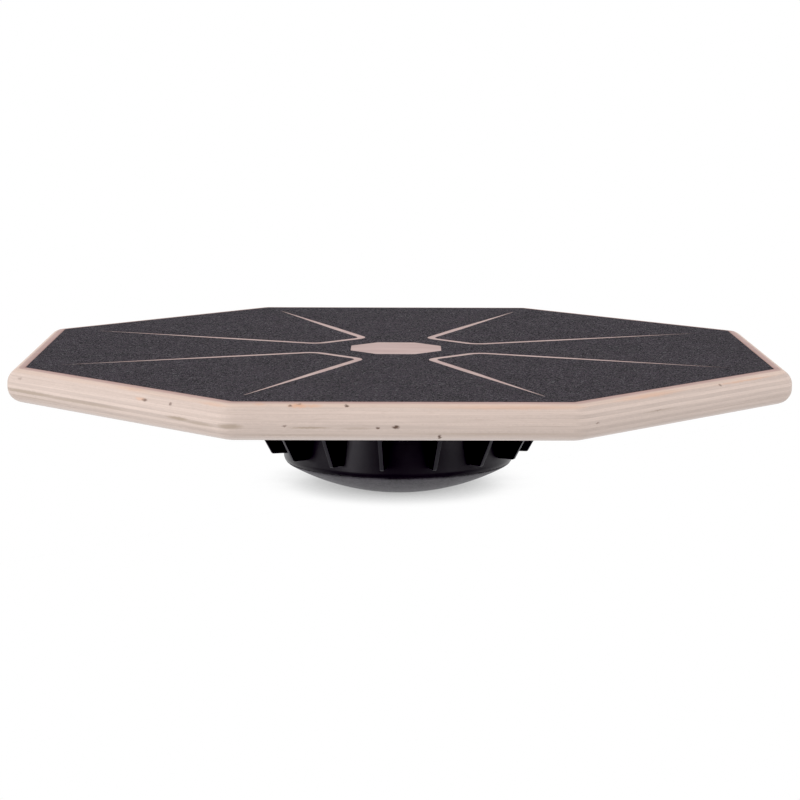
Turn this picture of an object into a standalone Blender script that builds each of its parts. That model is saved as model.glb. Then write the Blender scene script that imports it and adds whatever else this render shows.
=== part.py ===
"""Balance board (wobble board): a plywood deck with a grip sheet, on a ribbed base with a rubber sole.

Metres, +Z up. The origin is the middle of the sole's flat, where the board touches the floor. The deck's
flats face X and Y.
"""
import math

import bmesh
import bpy
from mathutils import Matrix, Vector

# Clearance between neighbouring pieces, and how far a cutter runs past what it cuts
GAP = 0.0003
CUT_MARGIN = 0.002

# Deck: an octagonal panel with rounded corners and edges
SIDES = 8
DECK_HALF_WIDTH = 0.200
DECK_THICKNESS = 0.0177
DECK_CORNER_RADIUS = 0.012
DECK_EDGE_RADIUS = 0.0079
DECK_BOTTOM = 0.0596
DECK_TOP = DECK_BOTTOM + DECK_THICKNESS

# Grip sheet: an octagon with a middle window and four bent slots, one round each diagonal sector
GRIP_HALF_WIDTH = 0.1906
GRIP_THICKNESS = 0.0002
GRIP_BACK_GAP = 0.0001
WINDOW_HALF_WIDTH = 0.0244
SLOT_BRIDGE_DISTANCE = 0.0435
SLOT_BEND_RADIUS = 0.009
SLOT_WIDTH = 0.0044
SLOT_TAPER_START = 0.095
SLOT_END = 0.185
SLOT_END_WIDTH = 0.0005
SLOT_BEND_STEPS = 6
PATTERN_SHIFT = (-0.0015, -0.0012)
PATTERN_TWIST = math.radians(-0.85)

# Base: a turned cup with a domed floor
TURNED_STEPS = 48
DRUM_RADIUS = 0.0624
DRUM_DRAFT = 0.0007
DRUM_WALL = 0.0030
DRUM_CORNER_RADIUS = 0.0048
FLANGE_RADIUS = 0.0910
FLANGE_THICKNESS = 0.0035
PARTING_HEIGHT = 0.0169
DOME_WALL = 0.0032
PILLAR_RADIUS = 0.010
PILLAR_BORE_RADIUS = 0.007

# Outer fins, one every 22.5 degrees
FIN_COUNT = 16
FIN_THICKNESS = 0.0021
FIN_BOTTOM = 0.0223
FIN_BOTTOM_RADIUS = 0.0706
FIN_SLOPE = 0.54
FIN_CHAMFER = 0.0004
FIRST_FIN_ANGLE = math.radians(-97.6)

# Inner ribs between the pillar and the wall
RIB_COUNT = 8
RIB_THICKNESS = 0.0024
RIB_WALL_HEIGHT = 0.050
RIB_PILLAR_HEIGHT = 0.040

# Rubber sole on the dome
SOLE_SPHERE_RADIUS = 0.1234
SOLE_THICKNESS = 0.0030
SOLE_FLAT_RADIUS = 0.006
SPHERE_CENTRE = math.sqrt(SOLE_SPHERE_RADIUS ** 2 - SOLE_FLAT_RADIUS ** 2)

# Pan-head wood screws through the flange, in every second bay between the fins
SCREW_COUNT = 8
SCREW_STEPS = 12
SCREW_CIRCLE_RADIUS = 0.078
SCREW_PAD_RADIUS = 0.006
SCREW_PAD_HEIGHT = 0.0012
SCREW_HOLE_RADIUS = 0.0024
SCREW_SHANK_RADIUS = 0.0019
SCREW_LENGTH = 0.016
SCREW_TIP_LENGTH = 0.0022
SCREW_HEAD_RADIUS = 0.0040
SCREW_HEAD_HEIGHT = 0.0026
RECESS_LENGTH = 0.0042
RECESS_WIDTH = 0.0009
RECESS_DEPTH = 0.0015
PILOT_EXTRA_DEPTH = 0.0008

FLANGE_TOP = DECK_BOTTOM - GAP
FLANGE_BOTTOM = FLANGE_TOP - FLANGE_THICKNESS
PAD_BOTTOM = FLANGE_BOTTOM - SCREW_PAD_HEIGHT
SCREW_HEAD_TOP = PAD_BOTTOM - GAP
FIRST_SCREW_ANGLE = FIRST_FIN_ANGLE + math.pi / FIN_COUNT


def clear_scene():
    for obj in list(bpy.data.objects):
        bpy.data.objects.remove(obj, do_unlink=True)


def make_collection(name):
    collection = bpy.data.collections.new(name)
    bpy.context.scene.collection.children.link(collection)
    return collection


def make_material(name, colour, roughness, metallic=0.0):
    material = bpy.data.materials.new(name)
    material.use_nodes = True
    shader = material.node_tree.nodes["Principled BSDF"]
    shader.inputs["Base Color"].default_value = (*colour, 1.0)
    shader.inputs["Roughness"].default_value = roughness
    shader.inputs["Metallic"].default_value = metallic
    return material


def add_object(name, data, collection, material=None):
    obj = bpy.data.objects.new(name, data)
    collection.objects.link(obj)
    if material:
        data.materials.append(material)
    return obj


def as_cutter(obj):
    obj.hide_render = True
    obj.display_type = 'WIRE'
    return obj


def boolean(obj, other, operation):
    modifier = obj.modifiers.new(operation.title(), 'BOOLEAN')
    modifier.operation = operation
    modifier.solver = 'EXACT'
    modifier.object = other


def arc(centre, radius, start, end, steps):
    """Points on an arc, both ends included. Angles are measured from the first axis."""
    angles = [start + (end - start) * i / steps for i in range(steps + 1)]
    return [(centre[0] + radius * math.cos(a), centre[1] + radius * math.sin(a)) for a in angles]


def turned(name, profile, steps, collection, material=None):
    """A profile of (radius, height) points turned about Z. It starts and ends on the axis."""
    mesh = bpy.data.meshes.new(name)
    vertices = [(radius, 0.0, height) for radius, height in profile]
    edges = [(i, i + 1) for i in range(len(profile) - 1)]
    mesh.from_pydata(vertices, edges, [])
    obj = add_object(name, mesh, collection, material)
    screw = obj.modifiers.new("Screw", 'SCREW')
    screw.steps = screw.render_steps = steps
    screw.use_merge_vertices = True
    screw.merge_threshold = 0.00001
    screw.use_smooth_shade = False
    return obj


def plates(name, outline, thickness, count, first_angle, collection):
    """Flat radial plates with an outline of (radius, height) points, evenly spaced round Z."""
    bm = bmesh.new()
    for i in range(count):
        vertices = [bm.verts.new((radius, -thickness / 2, height)) for radius, height in outline]
        face = bm.faces.new(vertices)
        grown = bmesh.ops.extrude_face_region(bm, geom=[face])
        moved = [item for item in grown["geom"] if isinstance(item, bmesh.types.BMVert)]
        bmesh.ops.translate(bm, vec=(0, thickness, 0), verts=moved)
        turn = Matrix.Rotation(first_angle + math.tau * i / count, 4, 'Z')
        bmesh.ops.transform(bm, matrix=turn, verts=vertices + moved)
    bmesh.ops.recalc_face_normals(bm, faces=bm.faces[:])
    mesh = bpy.data.meshes.new(name)
    bm.to_mesh(mesh)
    bm.free()
    return as_cutter(add_object(name, mesh, collection))


def ring_of_cylinders(name, radius, bottom, top, collection):
    """Cylinders on the screw circle, one for each screw."""
    bm = bmesh.new()
    for i in range(SCREW_COUNT):
        angle = FIRST_SCREW_ANGLE + math.tau * i / SCREW_COUNT
        centre = Matrix.Translation((SCREW_CIRCLE_RADIUS, 0, (bottom + top) / 2))
        bmesh.ops.create_cone(bm, cap_ends=True, segments=SCREW_STEPS, radius1=radius, radius2=radius,
                              depth=top - bottom, matrix=Matrix.Rotation(angle, 4, 'Z') @ centre)
    mesh = bpy.data.meshes.new(name)
    bm.to_mesh(mesh)
    bm.free()
    return as_cutter(add_object(name, mesh, collection))


def make_deck(collection, cutters, material):
    bm = bmesh.new()
    middle = Matrix.Translation((0, 0, (DECK_BOTTOM + DECK_TOP) / 2))
    place = middle @ Matrix.Rotation(math.pi / SIDES, 4, 'Z')
    circumradius = DECK_HALF_WIDTH / math.cos(math.pi / SIDES)
    bmesh.ops.create_cone(bm, cap_ends=True, segments=SIDES, radius1=circumradius, radius2=circumradius,
                          depth=DECK_THICKNESS, matrix=place)
    half = DECK_THICKNESS / 2
    uprights = [edge for edge in bm.edges if abs(edge.verts[0].co.z - edge.verts[1].co.z) > half]
    tangent = DECK_CORNER_RADIUS * math.tan(math.pi / SIDES)
    bmesh.ops.bevel(bm, geom=uprights, offset=tangent, offset_type='OFFSET', segments=4, profile=0.5,
                    affect='EDGES')
    mesh = bpy.data.meshes.new("deck")
    bm.to_mesh(mesh)
    bm.free()
    deck = add_object("deck", mesh, collection, material)
    bevel = deck.modifiers.new("Bevel", 'BEVEL')
    bevel.width = DECK_EDGE_RADIUS
    bevel.segments = 6
    bevel.limit_method = 'ANGLE'
    bevel.angle_limit = math.radians(60)
    bevel.use_clamp_overlap = False
    pilot_top = SCREW_HEAD_TOP + SCREW_LENGTH + PILOT_EXTRA_DEPTH
    pilots = ring_of_cylinders("pilot_holes", SCREW_HOLE_RADIUS, DECK_BOTTOM - CUT_MARGIN, pilot_top, cutters)
    boolean(deck, pilots, 'DIFFERENCE')


def octagon(half_width):
    circumradius = half_width / math.cos(math.pi / SIDES)
    angles = [math.pi / SIDES + math.tau * i / SIDES for i in range(SIDES)]
    return [Vector((circumradius * math.cos(a), circumradius * math.sin(a))) for a in angles]


def slot_path():
    """Middle line of the first diagonal sector's slot: in along 22.5 degrees, across, and out along 67.5."""
    turn = math.radians(67.5)
    tangent = SLOT_BEND_RADIUS * math.tan(turn / 2)
    corner = SLOT_BRIDGE_DISTANCE / math.cos(math.radians(22.5))
    arm = Vector((math.cos(math.radians(22.5)), math.sin(math.radians(22.5))))
    side = Vector((-arm.y, arm.x))
    bend_centre = arm * (corner + tangent) + side * SLOT_BEND_RADIUS
    half = [arm * SLOT_END, arm * SLOT_TAPER_START]
    for i in range(SLOT_BEND_STEPS + 1):
        angle = turn * i / SLOT_BEND_STEPS
        turned_in = side * math.cos(angle) + arm * math.sin(angle)
        half.append(bend_centre - turned_in * SLOT_BEND_RADIUS)
    other = [Vector((point.y, point.x)) for point in reversed(half)]
    return half + other


def slot_outline():
    """The slot's edge: its middle line widened to both sides, narrowing along each arm."""
    path = slot_path()
    left, right = [], []
    for i, point in enumerate(path):
        before = path[max(i - 1, 0)]
        after = path[min(i + 1, len(path) - 1)]
        along = (after - before).normalized()
        across = Vector((-along.y, along.x))
        width = SLOT_END_WIDTH if i in (0, len(path) - 1) else SLOT_WIDTH
        left.append(point + across * width / 2)
        right.append(point - across * width / 2)
    return left + right[::-1]


def pattern_place():
    shift = Matrix.Translation((*PATTERN_SHIFT, 0))
    return shift @ Matrix.Rotation(PATTERN_TWIST, 4, 'Z')


def make_grip_sheet(collection, material):
    place = pattern_place()
    outlines = [octagon(GRIP_HALF_WIDTH)]
    outlines.append([place @ point.to_3d() for point in octagon(WINDOW_HALF_WIDTH)])
    for quarter in range(4):
        turn = place @ Matrix.Rotation(math.pi / 2 * quarter, 4, 'Z')
        outlines.append([turn @ point.to_3d() for point in slot_outline()])
    curve = bpy.data.curves.new("grip_sheet", 'CURVE')
    curve.dimensions = '2D'
    curve.fill_mode = 'BOTH'
    curve.extrude = GRIP_THICKNESS / 2
    for outline in outlines:
        spline = curve.splines.new('POLY')
        spline.points.add(len(outline) - 1)
        for point, where in zip(spline.points, outline):
            point.co = (where[0], where[1], 0.0, 1.0)
        spline.use_cyclic_u = True
    sheet = add_object("grip_sheet", curve, collection, material)
    sheet.location.z = DECK_TOP + GRIP_BACK_GAP + GRIP_THICKNESS / 2


def sphere_height(sphere_radius, radius):
    """Height of the dome's sphere, or one concentric with it, at a distance from the axis."""
    return SPHERE_CENTRE - math.sqrt(sphere_radius ** 2 - radius ** 2)


def sphere_arc(sphere_radius, from_radius, to_radius, steps):
    start = math.atan2(sphere_height(sphere_radius, from_radius) - SPHERE_CENTRE, from_radius)
    end = math.atan2(sphere_height(sphere_radius, to_radius) - SPHERE_CENTRE, to_radius)
    return arc((0.0, SPHERE_CENTRE), sphere_radius, start, end, steps)


def corner_arc_centre():
    """Centre of the rounded corner that touches the drum's wall and the sole's sphere."""
    across = DRUM_RADIUS - DRUM_CORNER_RADIUS
    down = math.sqrt((SOLE_SPHERE_RADIUS - DRUM_CORNER_RADIUS) ** 2 - across ** 2)
    return across, SPHERE_CENTRE - down


def corner_arc_angle(height):
    return math.asin((height - corner_arc_centre()[1]) / DRUM_CORNER_RADIUS)


def make_base_housing(collection, cutters, material):
    core_radius = SOLE_SPHERE_RADIUS - SOLE_THICKNESS
    inside_radius = core_radius - DOME_WALL
    inner_wall = DRUM_RADIUS - DRUM_WALL
    step_height = PARTING_HEIGHT + GAP / 2
    core_edge = math.sqrt(core_radius ** 2 - (SPHERE_CENTRE - step_height) ** 2)
    profile = sphere_arc(inside_radius, 0.0, PILLAR_BORE_RADIUS, 1)
    profile += [(PILLAR_BORE_RADIUS, FLANGE_TOP), (PILLAR_RADIUS, FLANGE_TOP)]
    profile += sphere_arc(inside_radius, PILLAR_RADIUS, inner_wall, 6)
    profile += [(inner_wall, FLANGE_TOP), (FLANGE_RADIUS, FLANGE_TOP), (FLANGE_RADIUS, FLANGE_BOTTOM)]
    profile += [(DRUM_RADIUS + DRUM_DRAFT, FLANGE_BOTTOM)]
    profile += arc(corner_arc_centre(), DRUM_CORNER_RADIUS, 0.0, corner_arc_angle(step_height), 3)
    profile += sphere_arc(core_radius, core_edge, 0.0, 7)
    housing = turned("base_housing", profile, TURNED_STEPS, collection, material)

    # The outer fins run into the drum's wall and the flange
    wall_middle = DRUM_RADIUS - DRUM_WALL / 2
    flange_middle = FLANGE_TOP - FLANGE_THICKNESS / 2
    fin_top_radius = FIN_BOTTOM_RADIUS + FIN_SLOPE * (flange_middle - FIN_BOTTOM)
    fin_outline = [(wall_middle, FIN_BOTTOM), (FIN_BOTTOM_RADIUS - FIN_CHAMFER, FIN_BOTTOM)]
    fin_outline += [(FIN_BOTTOM_RADIUS + FIN_SLOPE * FIN_CHAMFER, FIN_BOTTOM + FIN_CHAMFER)]
    fin_outline += [(fin_top_radius, flange_middle), (wall_middle, flange_middle)]
    fins = plates("fins", fin_outline, FIN_THICKNESS, FIN_COUNT, FIRST_FIN_ANGLE, cutters)
    boolean(housing, fins, 'UNION')

    # The inner ribs stand in the middle of the dome's wall, the pillar's wall and the drum's wall
    pillar_middle = (PILLAR_RADIUS + PILLAR_BORE_RADIUS) / 2
    rib_outline = sphere_arc(core_radius - DOME_WALL / 2, pillar_middle, wall_middle, 6)
    rib_outline += [(wall_middle, RIB_WALL_HEIGHT), (pillar_middle, RIB_PILLAR_HEIGHT)]
    ribs = plates("ribs", rib_outline, RIB_THICKNESS, RIB_COUNT, FIRST_SCREW_ANGLE, cutters)
    boolean(housing, ribs, 'UNION')

    pads = ring_of_cylinders("screw_pads", SCREW_PAD_RADIUS, PAD_BOTTOM, flange_middle, cutters)
    boolean(housing, pads, 'UNION')
    holes = ring_of_cylinders("flange_holes", SCREW_HOLE_RADIUS, PAD_BOTTOM - CUT_MARGIN,
                              FLANGE_TOP + CUT_MARGIN, cutters)
    boolean(housing, holes, 'DIFFERENCE')


def make_rubber_sole(collection, material):
    inner_radius = SOLE_SPHERE_RADIUS - SOLE_THICKNESS + GAP
    edge_height = PARTING_HEIGHT - GAP / 2
    inner_edge = math.sqrt(inner_radius ** 2 - (SPHERE_CENTRE - edge_height) ** 2)
    corner_centre = corner_arc_centre()
    touch_angle = math.atan2(corner_centre[1] - SPHERE_CENTRE, corner_centre[0])
    profile = sphere_arc(inner_radius, 0.0, inner_edge, 7)
    profile += arc(corner_centre, DRUM_CORNER_RADIUS, corner_arc_angle(edge_height), touch_angle, 4)
    touch_radius = SOLE_SPHERE_RADIUS * math.cos(touch_angle)
    profile += sphere_arc(SOLE_SPHERE_RADIUS, touch_radius, SOLE_FLAT_RADIUS, 9)[1:]
    profile += [(0.0, 0.0)]
    turned("rubber_sole", profile, TURNED_STEPS, collection, material)


def make_screws(collection, cutters, material):
    """Screws along +Z with the point up. The head's underside rests on its pad."""
    tip = SCREW_HEAD_TOP + SCREW_LENGTH
    head_bottom = SCREW_HEAD_TOP - SCREW_HEAD_HEIGHT
    crown = SCREW_HEAD_HEIGHT / 2
    profile = [(0.0, tip), (SCREW_SHANK_RADIUS, tip - SCREW_TIP_LENGTH), (SCREW_SHANK_RADIUS, SCREW_HEAD_TOP)]
    profile += [(SCREW_HEAD_RADIUS, SCREW_HEAD_TOP), (SCREW_HEAD_RADIUS, SCREW_HEAD_TOP - crown)]
    profile += [(SCREW_HEAD_RADIUS * 0.75, head_bottom), (0.0, head_bottom)]
    master = turned("screw_blank", profile, SCREW_STEPS, cutters)
    as_cutter(master)
    wings = ((RECESS_LENGTH, RECESS_WIDTH, "recess_a"), (RECESS_WIDTH, RECESS_LENGTH, "recess_b"))
    for length, width, name in wings:
        bm = bmesh.new()
        size = Matrix.Diagonal((length, width, RECESS_DEPTH * 2, 1.0))
        bmesh.ops.create_cube(bm, size=1.0, matrix=Matrix.Translation((0, 0, head_bottom)) @ size)
        mesh = bpy.data.meshes.new(name)
        bm.to_mesh(mesh)
        bm.free()
        boolean(master, as_cutter(add_object(name, mesh, cutters)), 'DIFFERENCE')
    depsgraph = bpy.context.evaluated_depsgraph_get()
    screw_mesh = bpy.data.meshes.new_from_object(master.evaluated_get(depsgraph))
    screw_mesh.name = "flange_screw"
    screw_mesh.materials.append(material)
    for i in range(SCREW_COUNT):
        screw = bpy.data.objects.new(f"flange_screw_{i + 1}", screw_mesh)
        collection.objects.link(screw)
        angle = FIRST_SCREW_ANGLE + math.tau * i / SCREW_COUNT
        screw.location = (SCREW_CIRCLE_RADIUS * math.cos(angle), SCREW_CIRCLE_RADIUS * math.sin(angle), 0)
        screw.rotation_euler.z = angle


def main():
    clear_scene()
    board = make_collection("balance_board")
    cutters = make_collection("cutters")
    plywood = make_material("birch_plywood", (0.62, 0.50, 0.40), 0.55)
    grit = make_material("grip_grit", (0.06, 0.055, 0.065), 0.9)
    black_plastic = make_material("black_plastic", (0.012, 0.012, 0.014), 0.45)
    grey_rubber = make_material("grey_rubber", (0.11, 0.10, 0.12), 0.8)
    zinc = make_material("zinc_steel", (0.60, 0.60, 0.62), 0.35, metallic=1.0)
    make_deck(board, cutters, plywood)
    make_grip_sheet(board, grit)
    make_base_housing(board, cutters, black_plastic)
    make_rubber_sole(board, grey_rubber)
    make_screws(board, cutters, zinc)


main()
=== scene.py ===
"""Looks of the balance board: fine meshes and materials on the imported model, a floor, lights and a camera."""
import math

import bmesh
import bpy
from mathutils import Matrix, Vector


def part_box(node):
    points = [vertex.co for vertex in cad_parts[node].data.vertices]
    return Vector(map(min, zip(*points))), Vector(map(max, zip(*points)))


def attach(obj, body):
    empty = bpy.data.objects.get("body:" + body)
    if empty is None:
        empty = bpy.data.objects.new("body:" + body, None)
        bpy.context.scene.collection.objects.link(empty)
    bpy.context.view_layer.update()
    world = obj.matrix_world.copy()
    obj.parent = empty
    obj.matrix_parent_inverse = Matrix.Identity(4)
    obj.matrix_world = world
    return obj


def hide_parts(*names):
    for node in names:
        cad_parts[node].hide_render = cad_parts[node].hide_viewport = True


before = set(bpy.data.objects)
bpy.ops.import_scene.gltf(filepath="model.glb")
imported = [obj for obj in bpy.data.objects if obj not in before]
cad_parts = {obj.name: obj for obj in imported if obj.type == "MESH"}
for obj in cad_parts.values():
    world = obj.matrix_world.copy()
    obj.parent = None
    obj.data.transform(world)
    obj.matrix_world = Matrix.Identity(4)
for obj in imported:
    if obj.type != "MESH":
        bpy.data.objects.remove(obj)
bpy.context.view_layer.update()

BODY = "root"
MM = 0.001
ON_AXIS = 1e-7
CUT_MARGIN = 2.0 * MM

# Places from the frame
DECK_LOW, DECK_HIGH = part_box("deck")
GRIP_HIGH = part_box("grip_sheet")[1]
HOUSING_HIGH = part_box("base_housing")[1]
SOLE_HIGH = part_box("rubber_sole")[1]
SCREW_NODES = sorted(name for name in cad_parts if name.startswith("flange_screw_"))
SCREW_LOW, SCREW_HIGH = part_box(SCREW_NODES[0])

# Deck
SIDES = 8
DECK_HALF_WIDTH = DECK_HIGH.x
DECK_CORNER_RADIUS = 12.0 * MM
DECK_EDGE_RADIUS = 7.9 * MM
DECK_EDGE_STEPS = 12
DECK_CORNER_STEPS = 10
DECK_SUPPORT = 0.4 * MM
PLY_COUNT = 11
PLY_PITCH = (DECK_HIGH.z - DECK_LOW.z) / PLY_COUNT

# Grip sheet
GRIP_HALF_WIDTH = GRIP_HIGH.x
GRIP_CORNER_RADIUS = 1.0 * MM
GRIP_CORNER_STEPS = 4
GRIP_EDGE_RADIUS = 0.02 * MM
GRIP_SHOWN_THICKNESS = 0.06 * MM
WINDOW_HALF_WIDTH = 24.4 * MM
SLOT_BRIDGE_DISTANCE = 43.5 * MM
SLOT_BEND_RADIUS = 9.0 * MM
SLOT_BEND_STEPS = 14
SLOT_WIDTH = 4.4 * MM
SLOT_TAPER_START = 95.0 * MM
SLOT_TAPER_STEPS = 4
SLOT_END = 185.0 * MM
SLOT_END_WIDTH = 0.5 * MM
ARM_ANGLE = math.pi / SIDES
PATTERN_SHIFT = (-1.5 * MM, -1.2 * MM)
PATTERN_TWIST = math.radians(-0.85)

# Base housing
DRUM_RADIUS = 62.4 * MM
DRUM_DRAFT = 0.7 * MM
DRUM_WALL = 3.0 * MM
DRUM_CORNER_RADIUS = 4.8 * MM
DOME_WALL = 3.2 * MM
FLANGE_RADIUS = HOUSING_HIGH.x
FLANGE_THICKNESS = 3.5 * MM
FLANGE_EDGE_RADIUS = 0.8 * MM
FLANGE_TOP = HOUSING_HIGH.z
FLANGE_BOTTOM = FLANGE_TOP - FLANGE_THICKNESS
PILLAR_RADIUS = 10.0 * MM
PILLAR_BORE_RADIUS = 7.0 * MM
FIN_COUNT = 16
FIN_BOTTOM = 22.3 * MM
FIN_BOTTOM_RADIUS = 70.6 * MM
FIN_SLOPE = 0.54
FIN_CHAMFER = 0.4 * MM
FIN_HALF_BOTTOM = 0.95 * MM
FIN_HALF_TOP = 1.2 * MM
FIN_EDGE_RADIUS = 0.25 * MM
FIN_ROOT_FILLET = 0.12 * MM
FIRST_FIN_ANGLE = math.radians(-97.6)
RIB_COUNT = 8
RIB_THICKNESS = 2.4 * MM
RIB_WALL_HEIGHT = 50.0 * MM
RIB_PILLAR_HEIGHT = 40.0 * MM
BAY_STEPS = 10
FILLET_STEPS = 5
EDGE_STEPS = 4

# Rubber sole
SOLE_SPHERE_RADIUS = 123.4 * MM
SOLE_THICKNESS = 3.0 * MM
SOLE_FLAT_RADIUS = 6.0 * MM
SPHERE_CENTRE = math.sqrt(SOLE_SPHERE_RADIUS ** 2 - SOLE_FLAT_RADIUS ** 2)
PARTING_GAP = 0.3 * MM
PARTING_HEIGHT = SOLE_HIGH.z + PARTING_GAP / 2
PARTING_EDGE_RADIUS = 0.35 * MM
PARTING_LEAN = math.radians(20)
SOLE_SUPPORT = 0.5 * MM
TURNED_STEPS = 192

# Screws
SCREW_PAD_RADIUS = 6.0 * MM
SCREW_PAD_HEIGHT = 1.2 * MM
SCREW_PAD_EDGE = 0.5 * MM
SCREW_HOLE_RADIUS = 2.4 * MM
PILOT_EXTRA_DEPTH = 0.8 * MM
HOLE_STEPS = 48
SCREW_HEAD_RADIUS = 4.0 * MM
SCREW_HEAD_HEIGHT = 2.6 * MM
SCREW_HEAD_ROUNDING = 1.3 * MM
SCREW_HEAD_EDGE = 0.2 * MM
SCREW_CORE_RADIUS = 1.35 * MM
SCREW_THREAD_RADIUS = 1.95 * MM
SCREW_THREAD_PITCH = 1.6 * MM
SCREW_TIP_LENGTH = 3.0 * MM
SCREW_STEPS = 32
THREAD_ROWS_PER_TURN = 8
THREAD_HALF_WIDTH = 0.28
RECESS_LENGTH = 4.4 * MM
RECESS_WIDTH = 0.9 * MM
RECESS_DEPTH = 1.6 * MM
RECESS_FLOOR_LENGTH = RECESS_LENGTH / 2
RECESS_FLOOR_WIDTH = RECESS_WIDTH * 0.7
SCREW_TURN = 0.9

# Camera, lights and floor
CAMERA_PLACE = (-0.01547, -1.26758, 0.24452)
CAMERA_PITCH = math.radians(8.781)
CAMERA_YAW = math.radians(-0.735)
CAMERA_ROLL = math.radians(0.238)
CAMERA_LENS = 106.09
SENSOR_WIDTH = 36.0
FLOOR_SIZE = 60.0
FLOOR_DROP = 0.05 * MM
BLACK_POINT = 0.009
FRONT_DARKNESS = 0.11
SHADE_REACH = 55.0 * MM
SHADE_DIRECTION = (0.04, -0.8, 0.6)
SOFTBOX_DISTANCE = 1.6


# ---------------------------------------------------------------- mesh helpers

def arc(centre, radius, start, end, steps):
    """Points on an arc, both ends included."""
    angles = [start + (end - start) * i / steps for i in range(steps + 1)]
    return [(centre[0] + radius * math.cos(a), centre[1] + radius * math.sin(a)) for a in angles]


def blend_value(a, b, t):
    return a + (b - a) * t


def new_object(name, mesh):
    obj = bpy.data.objects.new(name, mesh)
    bpy.context.scene.collection.objects.link(obj)
    return obj


def mesh_from_bmesh(bm, name):
    bmesh.ops.recalc_face_normals(bm, faces=bm.faces[:])
    mesh = bpy.data.meshes.new(name)
    bm.to_mesh(mesh)
    bm.free()
    return mesh


def lofted(name, rings):
    """A closed mesh through rings of points. A ring of one point is a pole. Other ends are capped flat."""
    bm = bmesh.new()
    rows = [[bm.verts.new(point) for point in ring] for ring in rings]
    for low, high in zip(rows, rows[1:]):
        count = max(len(low), len(high))
        for j in range(count):
            k = (j + 1) % count
            if len(low) == 1:
                bm.faces.new((low[0], high[k], high[j]))
            elif len(high) == 1:
                bm.faces.new((low[j], low[k], high[0]))
            else:
                bm.faces.new((low[j], low[k], high[k], high[j]))
    for row in (rows[0], rows[-1]):
        if len(row) > 1:
            bm.faces.new(row)
    return mesh_from_bmesh(bm, name)


def turned_rings(profile, angles):
    """A ring for each (radius, height) point of a profile; a point on the axis gives a pole."""
    rings = []
    for radius, height in profile:
        if radius < ON_AXIS:
            rings.append([(0.0, 0.0, height)])
        else:
            rings.append([(radius * math.cos(a), radius * math.sin(a), height) for a in angles])
    return rings


def even_angles(steps):
    return [math.tau * i / steps for i in range(steps)]


def carve(obj, other, operation):
    """Applies a Boolean with another object, which is then removed."""
    modifier = obj.modifiers.new(operation.title(), 'BOOLEAN')
    modifier.operation = operation
    modifier.solver = 'EXACT'
    modifier.object = other
    depsgraph = bpy.context.evaluated_depsgraph_get()
    mesh = bpy.data.meshes.new_from_object(obj.evaluated_get(depsgraph))
    obj.modifiers.clear()
    obj.data = mesh
    bpy.data.objects.remove(other, do_unlink=True)


def smooth(obj, angle=30.0):
    obj.data.shade_smooth()
    obj.data.set_sharp_from_angle(angle=math.radians(angle))
    weighted = obj.modifiers.new("Weighted normals", 'WEIGHTED_NORMAL')
    weighted.keep_sharp = True


def finish_piece(obj, material, slot, *nodes):
    obj.data.materials.clear()
    obj.data.materials.append(material)
    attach(obj, BODY)
    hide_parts(*nodes)


# ---------------------------------------------------------------- node helpers

def is_socket(value):
    return isinstance(value, bpy.types.NodeSocket)


def add_node(tree, kind, sockets=None, **settings):
    node = tree.nodes.new(kind)
    for key, value in settings.items():
        setattr(node, key, value)
    for key, value in (sockets or {}).items():
        if is_socket(value):
            tree.links.new(value, node.inputs[key])
        else:
            node.inputs[key].default_value = value
    return node


def calculate(tree, operation, a, b=0.0, c=0.0):
    return add_node(tree, "ShaderNodeMath", {0: a, 1: b, 2: c}, operation=operation).outputs[0]


def map_range(tree, value, low, high, to_low=0.0, to_high=1.0, interpolation='LINEAR'):
    sockets = {"Value": value, "From Min": low, "From Max": high, "To Min": to_low, "To Max": to_high}
    return add_node(tree, "ShaderNodeMapRange", sockets, interpolation_type=interpolation).outputs[0]


def mix_colour(tree, factor, a, b, blend_type='MIX'):
    """A colour mix. The node's colours are its inputs 6 and 7, and its output 2."""
    node = add_node(tree, "ShaderNodeMix", data_type='RGBA', blend_type=blend_type)
    for index, value in ((0, factor), (6, a), (7, b)):
        if is_socket(value):
            tree.links.new(value, node.inputs[index])
        else:
            node.inputs[index].default_value = value if index == 0 else (*value, 1.0)
    return node.outputs[2]


def noise(tree, vector, scale=1.0, detail=2.0, roughness=0.5):
    sockets = {"Vector": vector, "Scale": scale, "Detail": detail, "Roughness": roughness}
    return add_node(tree, "ShaderNodeTexNoise", sockets).outputs["Fac"]


def scaled(tree, vector, scale):
    node = add_node(tree, "ShaderNodeVectorMath", {0: vector, 1: scale}, operation='MULTIPLY')
    return node.outputs[0]


def combine(tree, x, y, z):
    return add_node(tree, "ShaderNodeCombineXYZ", {0: x, 1: y, 2: z}).outputs[0]


def bump(tree, height, distance):
    return add_node(tree, "ShaderNodeBump", {"Height": height, "Distance": distance}).outputs[0]


def deviation(tree, value, amount, base):
    """base plus the value's distance from one half, times an amount."""
    return calculate(tree, 'MULTIPLY_ADD', calculate(tree, 'SUBTRACT', value, 0.5), amount, base)


def tinted(tree, colour, tone):
    """The colour times a grey tone."""
    return mix_colour(tree, 1.0, colour, combine(tree, tone, tone, tone), 'MULTIPLY')


def new_material(name, roughness, specular, metallic=0.0):
    material = bpy.data.materials.new(name)
    material.use_nodes = True
    tree = material.node_tree
    shader = tree.nodes["Principled BSDF"]
    shader.inputs["Roughness"].default_value = roughness
    shader.inputs["Specular IOR Level"].default_value = specular
    shader.inputs["Metallic"].default_value = metallic
    place = add_node(tree, "ShaderNodeTexCoord").outputs["Object"]
    return material, tree, shader, place


# ---------------------------------------------------------------- plywood

# The veneers' tones, from the bottom up
PLY_TONES = (1.10, 0.99, 0.95, 0.94, 0.90, 0.96, 0.96, 0.935, 0.985, 0.97, 1.04)

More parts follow.
